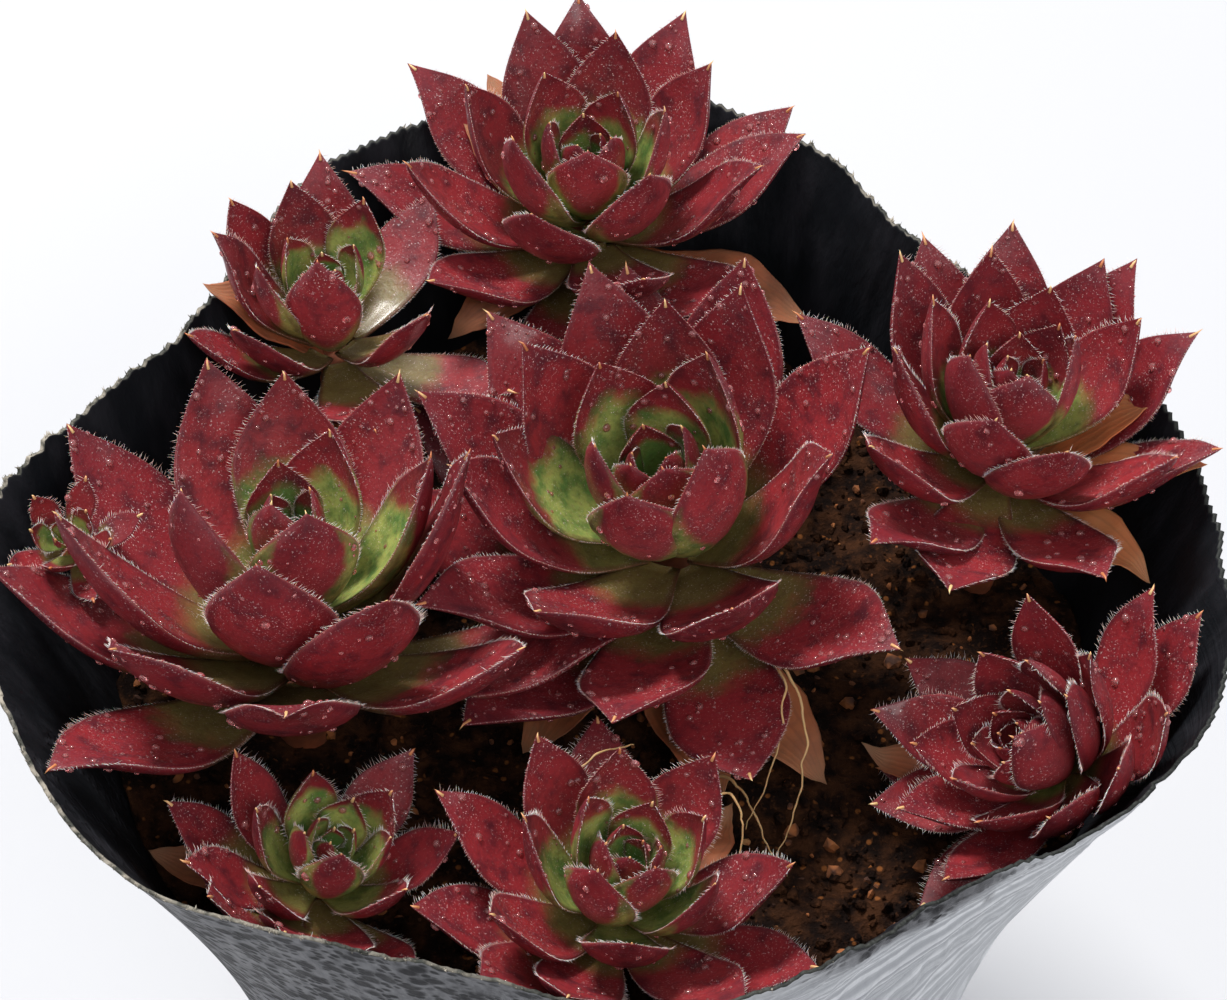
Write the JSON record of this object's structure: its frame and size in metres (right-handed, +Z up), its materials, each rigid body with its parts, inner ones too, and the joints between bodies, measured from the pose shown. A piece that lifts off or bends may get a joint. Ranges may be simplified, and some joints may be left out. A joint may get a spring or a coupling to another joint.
{
  "type": "potted houseleek",
  "caption": "Clump of crimson houseleek rosettes with green hearts and fringed, pointed leaves, growing in a soft film nursery pot of peat.",
  "frame": {"origin": "middle of the pot's flat underside, where it stands", "axes": "+Z up out of the pot, +X to the right and +Y to the back as the plant is usually seen"},
  "size_m": [0.1301, 0.1314, 0.1202],
  "materials": {
    "pot_film": "thin film, satin black inside and wrinkled silver white with black flecks outside",
    "peat": "dark damp peat, crumbly, with orange-brown grit",
    "leaf": "fleshy, satin, deep crimson running to green at the foot, with pale glandular specks and edges",
    "dry_stem": "withered brown and orange-brown, papery and veined",
    "hair": "fine translucent white hairs along the leaf edges",
    "spine": "dry straw-coloured leaf points",
    "water": "clear round droplets"
  },
  "bodies": {
    "root": {"pot": "pot_film", "soil": "peat", "rosette_centre": "leaf", "rosette_left": "leaf", "rosette_right": "leaf", "rosette_back": "leaf", "rosette_front": "leaf", "rosette_back_left": "leaf", "rosette_tilted": "leaf", "rosette_front_left": "leaf", "rosette_far_left": "leaf", "stem_centre": "dry_stem", "stem_left": "dry_stem", "stem_right": "dry_stem", "stem_back": "dry_stem", "stem_front": "dry_stem", "stem_back_left": "dry_stem", "stem_tilted": "dry_stem", "stem_front_left": "dry_stem", "stem_far_left": "dry_stem"}
  },
  "joints": []
}
